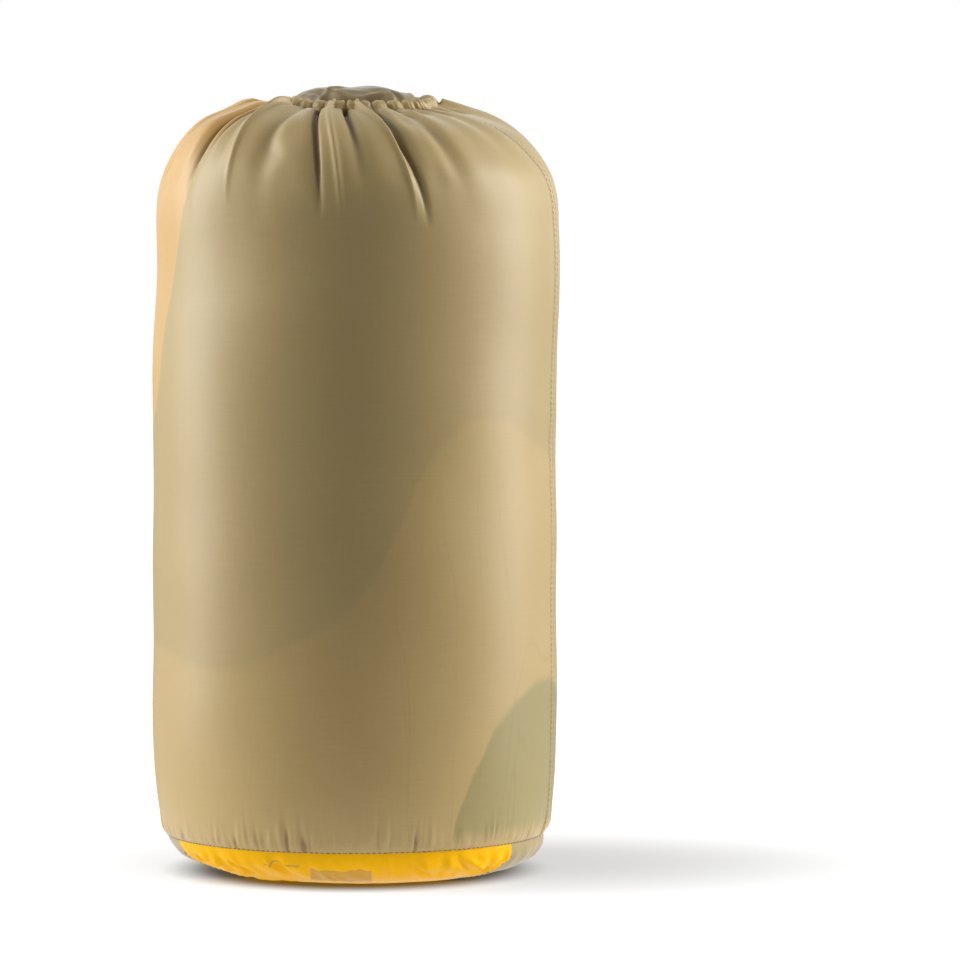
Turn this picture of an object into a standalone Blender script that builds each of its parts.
"""A stuffed drawcord sack: a fabric tube with a sewn round base, drawn shut at the top.

Metres, +Z up. The origin is the middle of the base, on the surface that the sack stands on.
The front of the sack faces -Y, and its drawcord and cord lock are at the back, at +Y.
"""

import math

import bpy
from mathutils import Matrix, Vector

# ---- driving dimensions ----
SACK_RADIUS = 0.120
SACK_HEIGHT = 0.467
FABRIC = 0.0010  # thickness of a fabric wall, seam allowance included
GAP = 0.0003  # clearance between pieces that touch
SEGMENTS = 40  # facets round the sack

SEAM_RADIUS = 0.112  # where the tube is sewn to the base
SEAM_HEIGHT = 0.022
FOOT_RADIUS = 0.066  # flat part of the base
TUCK_HEIGHT = 0.075  # the wall starts to draw in to the base seam below this
LABEL_CHORD = 0.0535  # how far in front of the middle the base's two fabrics meet
LABEL_TURN = math.radians(-5.5)  # the line where they meet runs a little forward on the right

SHOULDER_START = 0.370
SHOULDER_TOP = 0.452
SHOULDER_POWER = 2.6  # superellipse exponent of the shoulder and the flap
MOUTH_EDGE_RADIUS = 0.0485  # top edge of the tube, where the hem starts
LINING_OFFSET = 0.0026  # from the sack's outer face to the load inside

HEM_RADIUS = 0.044  # circle that the drawcord follows
HEM_CENTRE_HEIGHT = 0.456
HEM_OUTER = 0.0055  # half the thickness of the gathered hem
HEM_INNER = 0.0046

SEAM_STRIP_WIDTH = 0.008
SEAM_STRIP_THICKNESS = 0.0006
SEAM_STRIP_TURN = math.radians(-12)  # on the right, a little to the front
BINDING_HEIGHT = 0.009
BINDING_THICKNESS = 0.0006

CORD_RADIUS = 0.0013
EYELET_SPREAD = 0.0046  # each eyelet's distance from the middle of the back
EYELET_TILT = math.radians(40)  # the cord leaves the hem this far above level
EYELET_BORE = 0.0020
EYELET_BARREL = 0.0025
EYELET_FLANGE = 0.0039
EYELET_ROOT = 0.0033  # its barrel starts this far from the middle of the hem
EYELET_CROWN = 0.0005  # thickness of its flange
PATCH_SIZE = (0.024, 0.0088)
PATCH_THICKNESS = 0.0007
DRILL_LENGTH = 0.010
CORD_TURN = 0.0052  # how tightly the cord turns into an eyelet
CORD_STEPS = 56  # straight runs round the hem

TAIL_SLOPE = math.radians(-10)  # the tails and the lock lie down along the back
TAIL_SPREAD = 0.0015  # each tail's distance from the middle, inside the lock
LOCK_DISTANCE = 0.0165  # eyelets to the middle of the lock
KNOT_DISTANCE = 0.0370
KNOT_RADIUS = 0.0034
LOCK_RADIUS = 0.0050
LOCK_ENDS = (-0.0098, 0.0074)  # closed end and open end of its barrel, from its middle
LOCK_FLOOR = 0.0012
LOCK_CHAMFER = 0.0008
CORD_HOLE_HEIGHT = 0.0034
CORD_HOLE = 0.0010  # the lock's cord hole is this far along the barrel, towards the button
BUTTON_RADIUS = 0.0037
BUTTON_TRAVEL = 0.0032
BUTTON_HEAD = 0.0022
SPRING_RADIUS = 0.0026
SPRING_WIRE = 0.00025
SPRING_TURNS = 3.5

FLAP_RADIUS = 0.0375
ROUND_STEPS = 24  # facets round a small part


# ---- helpers ----
def clear_scene():
    for old in list(bpy.data.objects):
        bpy.data.objects.remove(old, do_unlink=True)


def new_collection(name):
    made = bpy.data.collections.new(name)
    bpy.context.scene.collection.children.link(made)
    return made


def finish_material(name, colour, roughness, metallic=0.0):
    made = bpy.data.materials.new(name)
    made.use_nodes = True
    shader = made.node_tree.nodes["Principled BSDF"]
    shader.inputs["Base Color"].default_value = (*colour, 1.0)
    shader.inputs["Roughness"].default_value = roughness
    shader.inputs["Metallic"].default_value = metallic
    return made


def add_object(name, data, material, collection, parent=None):
    made = bpy.data.objects.new(name, data)
    data.materials.append(material)
    collection.objects.link(made)
    made.parent = parent
    return made


def superellipse(centre, radii, power, steps):
    """A quarter curve from above the centre round to beside it, as (radius, height) points."""
    points = []
    for step in range(steps + 1):
        angle = math.pi / 2 * (1 - step / steps)
        across = max(math.cos(angle), 0.0) ** (2 / power)
        up = max(math.sin(angle), 0.0) ** (2 / power)
        points.append((centre[0] + radii[0] * across, centre[1] + radii[1] * up))
    return points


def turned(name, profile, material, collection, steps=SEGMENTS, sweep=2 * math.pi, parent=None):
    """A profile of (radius, height) points, outer side downwards, turned about +Z."""
    mesh = bpy.data.meshes.new(name)
    edges = [(i, i + 1) for i in range(len(profile) - 1)]
    mesh.from_pydata([(r, 0.0, z) for r, z in profile], edges, [])
    made = add_object(name, mesh, material, collection, parent)
    screw = made.modifiers.new("Turn", "SCREW")
    screw.axis = "Z"
    screw.angle = sweep
    screw.steps = screw.render_steps = steps
    screw.use_merge_vertices = abs(sweep - 2 * math.pi) < 1e-6
    screw.merge_threshold = 0.00001
    screw.use_smooth_shade = True
    return made


def thicken(target, thickness, offset):
    solidify = target.modifiers.new("Thickness", "SOLIDIFY")
    solidify.thickness = thickness
    solidify.offset = offset
    solidify.use_even_offset = True
    return solidify


def cut(target, cutter):
    boolean = target.modifiers.new("Cut_" + cutter.name, "BOOLEAN")
    boolean.operation = "DIFFERENCE"
    boolean.object = cutter


def move_to(target, collection):
    """Takes an added primitive out of the default collection and puts it in this one."""
    for owner in list(target.users_collection):
        owner.objects.unlink(target)
    collection.objects.link(target)


def make_cutter(name, collection, parent=None):
    """Names the active primitive, moves it to the cutters' collection and hides it from the render."""
    cutter = bpy.context.object
    cutter.name = name
    move_to(cutter, collection)
    cutter.parent = parent
    cutter.hide_render = True
    cutter.display_type = "WIRE"
    return cutter


def smooth_line(points, per_span):
    """A Catmull-Rom curve through the points."""
    ends = [2 * points[0] - points[1], *points, 2 * points[-1] - points[-2]]
    line = []
    for i in range(1, len(ends) - 2):
        before, start, end, after = ends[i - 1 : i + 3]
        for step in range(per_span):
            t = step / per_span
            line.append(
                0.5
                * (
                    2 * start
                    + (end - before) * t
                    + (2 * before - 5 * start + 4 * end - after) * t**2
                    + (3 * start - before - 3 * end + after) * t**3
                )
            )
    line.append(points[-1])
    return line


def tube(name, points, radius, material, collection, parent=None, resolution=2):
    curve = bpy.data.curves.new(name, "CURVE")
    curve.dimensions = "3D"
    curve.bevel_depth = radius
    curve.bevel_resolution = resolution
    curve.use_fill_caps = True
    spline = curve.splines.new("POLY")
    spline.points.add(len(points) - 1)
    for target, point in zip(spline.points, points):
        target.co = (*point, 1.0)
    return add_object(name, curve, material, collection, parent)


def tuck_radius(height):
    """The tube's outer radius where it draws in to the base seam."""
    fall = (TUCK_HEIGHT - height) / (TUCK_HEIGHT - SEAM_HEIGHT)
    return SEAM_RADIUS + (SACK_RADIUS - SEAM_RADIUS) * math.sqrt(max(1 - fall**2, 0.0))


def sack_profile(inset=0.0):
    """The tube of the sack, from its mouth down to the base seam, drawn in by inset."""
    shoulder = superellipse(
        (MOUTH_EDGE_RADIUS, SHOULDER_START),
        (SACK_RADIUS - MOUTH_EDGE_RADIUS - inset, SHOULDER_TOP - SHOULDER_START - inset),
        SHOULDER_POWER,
        8,
    )
    tuck = []
    for step in range(5):
        fall = math.sin(math.pi / 2 * step / 4)
        height = TUCK_HEIGHT - (TUCK_HEIGHT - SEAM_HEIGHT - GAP) * fall
        tuck.append((tuck_radius(height) - inset, height))
    return shoulder + tuck


def base_profile():
    """The round base, from its seam down and in to the middle of its flat foot."""
    curve = []
    for step in range(7):
        angle = math.pi / 2 * step / 6
        radius = FOOT_RADIUS + (SEAM_RADIUS - FOOT_RADIUS) * math.cos(angle)
        curve.append((radius, SEAM_HEIGHT * (1 - math.sin(angle))))
    return curve + [(FOOT_RADIUS / 2, 0.0), (0.0, 0.0)]


# ---- the sack's own pieces ----
def build_tube(parts, materials):
    side = turned("side_panel", sack_profile(), materials["fabric"], parts)
    thicken(side, FABRIC, -1.0)
    strip_outline = [(r + GAP, z) for r, z in sack_profile()[1:]]
    sweep = SEAM_STRIP_WIDTH / SACK_RADIUS
    strip = turned("side_seam_strip", strip_outline, materials["fabric"], parts, 2, sweep)
    thicken(strip, SEAM_STRIP_THICKNESS, 1.0)
    strip.rotation_euler.z = SEAM_STRIP_TURN


def build_base(parts, cutters, materials):
    """The base is two fabrics, which meet on a chord in front of the middle."""
    reach = 2 * SACK_RADIUS
    sides = {
        "base_panel": (materials["fabric"], -1),
        "base_label_panel": (materials["label_fabric"], 1),
    }
    for name, (material, side) in sides.items():
        shell = turned(name, base_profile(), material, parts)
        thicken(shell, FABRIC, -1.0)
        middle = Vector((0, -LABEL_CHORD + side * (reach / 2 - GAP / 2), 0))
        middle.rotate(Matrix.Rotation(LABEL_TURN, 3, "Z"))
        turn = (0, 0, LABEL_TURN)
        bpy.ops.mesh.primitive_cube_add(size=reach, location=middle, rotation=turn)
        cut(shell, make_cutter(name + "_cutter", cutters))
    band = []
    for step in range(4):
        height = SEAM_HEIGHT + GAP + BINDING_HEIGHT * (1 - step / 3)
        band.append((tuck_radius(height) - FABRIC - 2 * GAP, height))
    binding = turned("base_seam_binding", band, materials["binding"], parts)
    thicken(binding, BINDING_THICKNESS, -1.0)


def build_load(parts, materials):
    """The soft load that holds the sack's shape, and the flap that covers it inside the mouth."""
    wall = sack_profile(LINING_OFFSET)
    wall = wall[:-1] + [(SEAM_RADIUS - LINING_OFFSET, SEAM_HEIGHT)]
    floor = [(max(r - LINING_OFFSET, 0.0), z + LINING_OFFSET) for r, z in base_profile()]
    top = SHOULDER_TOP - LINING_OFFSET
    turned("stuffing", [(0.0, top), *wall, *floor[1:]], materials["load"], parts)
    seat = top + GAP
    dome = superellipse((0.0, seat), (FLAP_RADIUS, SACK_HEIGHT - seat), SHOULDER_POWER, 7)
    turned("dust_flap", [*dome, (0.0, seat)], materials["fabric"], parts)


# ---- the hem, its eyelets and the drawcord ----
def eyelet_way():
    """The direction in which the cord leaves the hem."""
    return Vector((0, math.cos(EYELET_TILT), math.sin(EYELET_TILT)))


def hem_point(x):
    """The point of the hem's centre circle at the back, x metres from the middle."""
    return Vector((x, math.sqrt(HEM_RADIUS**2 - x**2), HEM_CENTRE_HEIGHT))


def torus(minor_radius):
    bpy.ops.mesh.primitive_torus_add(
        location=(0, 0, HEM_CENTRE_HEIGHT),
        major_segments=SEGMENTS,
        minor_segments=14,
        major_radius=HEM_RADIUS,
        minor_radius=minor_radius,
    )


def build_hem(parts, cutters, materials):
    torus(HEM_OUTER)
    hem = bpy.context.object
    hem.name = "drawcord_channel"
    move_to(hem, parts)
    hem.data.materials.append(materials["fabric"])
    torus(HEM_INNER)
    cut(hem, make_cutter("channel_hollow", cutters))

    seat = Matrix.Rotation(EYELET_TILT - math.pi / 2, 4, "X")
    patch_foot = HEM_OUTER + GAP
    bpy.ops.mesh.primitive_cube_add(size=1)
    patch = bpy.context.object
    patch.name = "eyelet_patch"
    move_to(patch, parts)
    patch.data.materials.append(materials["binding"])
    patch.data.transform(Matrix.Diagonal((*PATCH_SIZE, PATCH_THICKNESS, 1.0)))
    middle = hem_point(0) + eyelet_way() * (patch_foot + PATCH_THICKNESS / 2)
    patch.matrix_world = Matrix.Translation(middle) @ seat

    crown = patch_foot + PATCH_THICKNESS + GAP
    top = crown + EYELET_CROWN
    neck = EYELET_ROOT + 0.0004
    outline = [
        (EYELET_BORE, top),
        (EYELET_FLANGE - GAP, top),
        (EYELET_FLANGE, crown),
        (EYELET_BARREL, crown),
        (EYELET_BARREL, neck),
        (EYELET_BARREL + GAP, neck),
        (EYELET_BARREL + GAP, EYELET_ROOT),
        (EYELET_BORE, EYELET_ROOT),
        (EYELET_BORE, top),
    ]
    for name, side in (("left", -1), ("right", 1)):
        place = Matrix.Translation(hem_point(side * EYELET_SPREAD)) @ seat
        bpy.ops.mesh.primitive_cylinder_add(
            vertices=ROUND_STEPS, radius=EYELET_BARREL + GAP, depth=DRILL_LENGTH
        )
        drill = make_cutter("eyelet_drill_" + name, cutters)
        drill.matrix_world = place @ Matrix.Translation((0, 0, EYELET_ROOT + DRILL_LENGTH / 2))
        cut(hem, drill)
        cut(patch, drill)
        eyelet = turned("eyelet_" + name, outline, materials["metal"], parts, ROUND_STEPS)
        eyelet.matrix_world = place
    return top


def build_drawcord(parts, materials, mouth):
    """The cord fills the hem's round and turns out through both eyelets."""
    way = eyelet_way()
    start = []
    for step in range(5):
        angle = math.pi / 2 * step / 4
        x = EYELET_SPREAD + CORD_TURN * (1 - math.cos(angle))
        start.append(hem_point(x) + way * CORD_TURN * (1 - math.sin(angle)))
    start.insert(0, hem_point(EYELET_SPREAD) + way * mouth)
    first = math.asin((EYELET_SPREAD + CORD_TURN) / HEM_RADIUS)
    ring = []
    for step in range(1, CORD_STEPS):
        angle = math.pi / 2 - first - (2 * math.pi - 2 * first) * step / CORD_STEPS
        x, y = HEM_RADIUS * math.cos(angle), HEM_RADIUS * math.sin(angle)
        ring.append(Vector((x, y, HEM_CENTRE_HEIGHT)))
    end = [Vector((-p.x, p.y, p.z)) for p in reversed(start)]
    tube("drawcord", [*start, *ring, *end], CORD_RADIUS, materials["cord"], parts)


# ---- the tails, their knot and the cord lock ----
def build_tails(parts, materials, hinge):
    """In the hinge's own frame the tails run along +Y, away from the eyelets."""
    start = 0.0016
    gathered = LOCK_DISTANCE - LOCK_RADIUS - 0.002
    end = KNOT_DISTANCE - KNOT_RADIUS
    for name, side in (("left", -1), ("right", 1)):
        route = [
            Vector((side * EYELET_SPREAD, start, 0)),
            Vector((side * (EYELET_SPREAD * 0.80), start + 0.0025, 0)),
            Vector((side * (TAIL_SPREAD + 0.0006), gathered - 0.0015, 0)),
            Vector((side * TAIL_SPREAD, gathered, 0)),
            Vector((side * TAIL_SPREAD, end, 0)),
        ]
        line = smooth_line(route[:4], 3) + [route[4]]
        tube("drawcord_tail_" + name, line, CORD_RADIUS, materials["cord"], parts, hinge, 3)
    bpy.ops.mesh.primitive_uv_sphere_add(segments=16, ring_count=10, radius=1.0)
    knot = bpy.context.object
    knot.name = "drawcord_knot"
    move_to(knot, parts)
    knot.data.materials.append(materials["cord"])
    knot.data.transform(Matrix.Diagonal((KNOT_RADIUS * 1.15, KNOT_RADIUS - GAP, KNOT_RADIUS, 1.0)))
    knot.parent = hinge
    knot.location = (0, KNOT_DISTANCE + GAP, 0)
    knot.data.shade_smooth()


def build_lock(parts, cutters, materials, hinge):
    """A barrel lock that lies across the tails: its own frame has +Z along the barrel."""
    lock = bpy.data.objects.new("lock_frame", None)
    parts.objects.link(lock)
    lock.parent = hinge
    lock.location = (-CORD_HOLE, LOCK_DISTANCE, 0)
    lock.rotation_euler = (0, math.pi / 2, 0)

    half_hole = TAIL_SPREAD + CORD_RADIUS + GAP
    barrel_low, barrel_high = LOCK_ENDS
    floor = barrel_low + LOCK_FLOOR
    bore = BUTTON_RADIUS + GAP
    cup = [
        (0.0, floor),
        (bore, floor),
        (bore, barrel_high),
        (LOCK_RADIUS - LOCK_CHAMFER, barrel_high),
        (LOCK_RADIUS, barrel_high - LOCK_CHAMFER),
        (LOCK_RADIUS, barrel_low + LOCK_CHAMFER),
        (LOCK_RADIUS - LOCK_CHAMFER, barrel_low),
        (0.0, barrel_low),
    ]
    barrel = turned("cord_lock_barrel", cup, materials["plastic"], parts, ROUND_STEPS, parent=lock)

    head_low = barrel_high + BUTTON_TRAVEL + GAP
    head_high = head_low + BUTTON_HEAD
    bar = 0.0018  # what is left of the plunger below its slot
    plunger_low = CORD_HOLE - half_hole - GAP - bar
    stem = [
        (0.0, head_high + LOCK_CHAMFER / 2),
        (BUTTON_RADIUS - LOCK_CHAMFER, head_high),
        (LOCK_RADIUS - LOCK_CHAMFER, head_high - LOCK_CHAMFER / 2),
        (LOCK_RADIUS - LOCK_CHAMFER / 2, head_low + LOCK_CHAMFER / 2),
        (LOCK_RADIUS - LOCK_CHAMFER, head_low),
        (BUTTON_RADIUS, head_low),
        (BUTTON_RADIUS, plunger_low),
        (0.0, plunger_low),
    ]
    plunger = turned("cord_lock_plunger", stem, materials["plastic"], parts, ROUND_STEPS, parent=lock)

    slots = {
        "barrel_slot": (barrel, CORD_HOLE - half_hole, CORD_HOLE + half_hole),
        "plunger_slot": (plunger, CORD_HOLE - half_hole, CORD_HOLE + half_hole + BUTTON_TRAVEL),
    }
    for name, (target, low, high) in slots.items():
        bpy.ops.mesh.primitive_cube_add(size=1)
        slot = make_cutter(name, cutters, lock)
        slot.data.transform(Matrix.Diagonal((CORD_HOLE_HEIGHT, 4 * LOCK_RADIUS, high - low, 1.0)))
        slot.location = (0, 0, (low + high) / 2)
        rounding = slot.modifiers.new("Round", "BEVEL")
        rounding.width = CORD_HOLE_HEIGHT * 0.42
        rounding.segments = 3
        cut(target, slot)

    build_spring(parts, materials, lock, floor, plunger_low)


def build_spring(parts, materials, lock, floor, ceiling):
    """A coil of wire between the barrel's floor and the plunger."""
    per_turn = 12
    steps = int(SPRING_TURNS * per_turn)
    low, high = floor + SPRING_WIRE + GAP / 3, ceiling - SPRING_WIRE - GAP / 3
    coil = []
    for step in range(steps + 1):
        angle = 2 * math.pi * step / per_turn
        height = low + (high - low) * step / steps
        x, y = SPRING_RADIUS * math.cos(angle), SPRING_RADIUS * math.sin(angle)
        coil.append(Vector((x, y, height)))
    tube("cord_lock_spring", coil, SPRING_WIRE, materials["metal"], parts, lock)


def main():
    clear_scene()
    parts = new_collection("drawcord_sack")
    cutters = new_collection("cutters")
    materials = {
        "fabric": finish_material("khaki_fabric", (0.36, 0.28, 0.16), 0.45),
        "label_fabric": finish_material("yellow_fabric", (0.85, 0.48, 0.01), 0.40),
        "binding": finish_material("binding_tape", (0.24, 0.19, 0.11), 0.70),
        "load": finish_material("quilted_load", (0.22, 0.23, 0.12), 0.75),
        "cord": finish_material("braided_cord", (0.10, 0.10, 0.08), 0.75),
        "plastic": finish_material("black_nylon", (0.03, 0.03, 0.03), 0.45),
        "metal": finish_material("nickel", (0.60, 0.58, 0.54), 0.30, 1.0),
    }
    build_tube(parts, materials)
    build_base(parts, cutters, materials)
    build_load(parts, materials)
    mouth = build_hem(parts, cutters, materials)
    build_drawcord(parts, materials, mouth)

    hinge = bpy.data.objects.new("tail_hinge", None)
    parts.objects.link(hinge)
    hinge.location = hem_point(0) + eyelet_way() * mouth
    hinge.rotation_euler = (TAIL_SLOPE, 0, 0)
    build_tails(parts, materials, hinge)
    build_lock(parts, cutters, materials, hinge)
    bpy.context.view_layer.update()


main()
